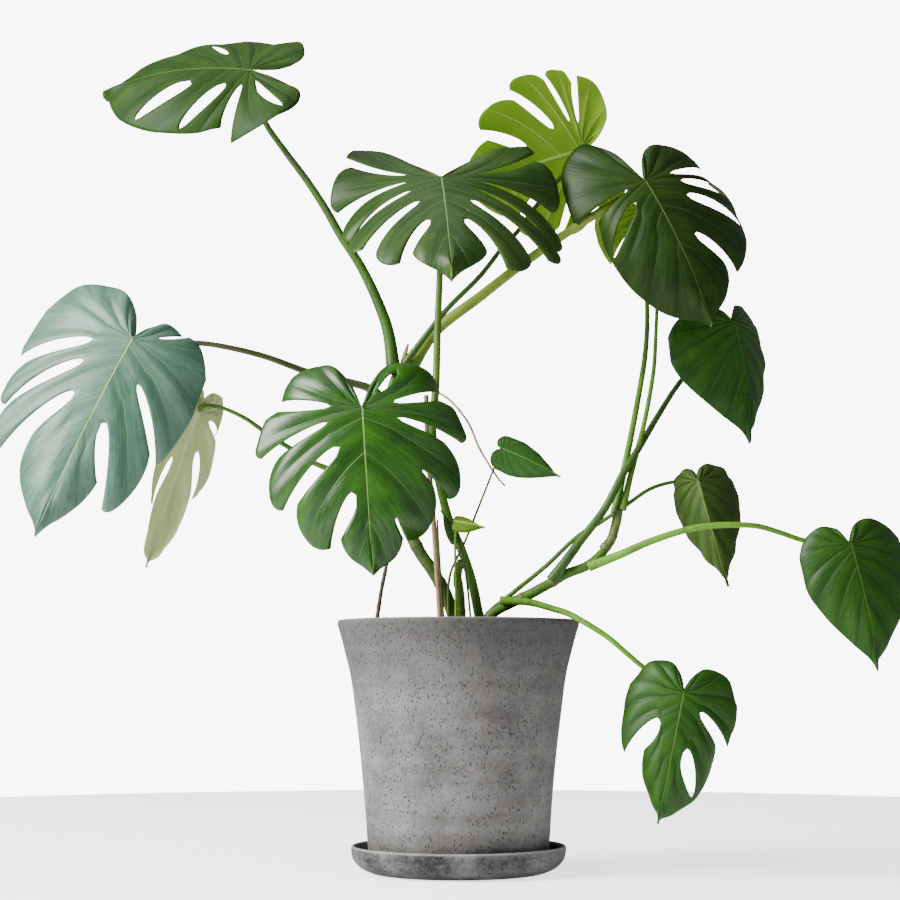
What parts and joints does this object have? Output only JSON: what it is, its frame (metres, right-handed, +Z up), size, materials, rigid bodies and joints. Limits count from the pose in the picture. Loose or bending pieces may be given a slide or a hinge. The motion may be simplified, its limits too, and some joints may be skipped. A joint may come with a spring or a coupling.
{
  "type": "potted monstera plant",
  "caption": "Climbing monstera with split heart-shaped leaves on long stalks, in a flared clay pot that stands on its saucer.",
  "frame": {"origin": "on the pot's axis at the flat underside of the saucer", "axes": "+Z up along the pot's axis, +X to the plant's right seen from its front, the front faces -Y"},
  "size_m": [1.0942, 0.3049, 1.0501],
  "materials": {
    "saucer_clay": "matt, mottled",
    "pot_clay": "matt, pitted",
    "soil": "loose, damp",
    "bamboo": "dry, striped",
    "aerial_root": "rough",
    "dry_sheath": "papery",
    "stem": "satin",
    "leaf_stalk": "satin",
    "young_leaf": "satin",
    "pale_leaf": "satin",
    "blue_leaf": "semi-gloss",
    "green_leaf": "semi-gloss"
  },
  "bodies": {
    "root": {"saucer": "saucer_clay", "pot": "pot_clay", "main_stem": "stem", "stake": "bamboo", "centre_shoot": "stem", "side_stem": "stem", "side_sheath": "stem", "dark_root": "aerial_root", "loose_root": "aerial_root", "upper_centre_stalk": "leaf_stalk", "upper_centre_leaf": "green_leaf", "top_left_stalk": "leaf_stalk", "top_left_leaf": "green_leaf", "dark_upper_right_stalk": "leaf_stalk", "dark_upper_right_leaf": "green_leaf", "backlit_top_stalk": "leaf_stalk", "backlit_top_leaf": "young_leaf", "far_left_stalk": "leaf_stalk", "far_left_leaf": "blue_leaf", "pale_hanging_stalk": "leaf_stalk", "pale_hanging_leaf": "pale_leaf", "front_stalk": "leaf_stalk", "front_leaf": "green_leaf", "hidden_upper_stalk": "leaf_stalk", "hidden_upper_leaf": "young_leaf", "hidden_small_stalk": "leaf_stalk", "hidden_small_leaf": "green_leaf", "right_heart_stalk": "leaf_stalk", "right_heart_leaf": "green_leaf", "folded_hanging_stalk": "leaf_stalk", "folded_hanging_leaf": "green_leaf", "far_right_stalk": "leaf_stalk", "far_right_leaf": "green_leaf", "bottom_right_stalk": "leaf_stalk", "bottom_right_leaf": "green_leaf", "small_centre_stalk": "leaf_stalk", "small_centre_leaf": "green_leaf", "tiny_bright_stalk": "leaf_stalk", "tiny_bright_leaf": "young_leaf", "tiny_dark_stalk": "leaf_stalk", "tiny_dark_leaf": "green_leaf", "bare_stalk": "leaf_stalk", "papery_sheath": "dry_sheath", "soil": "soil"}
  },
  "joints": []
}
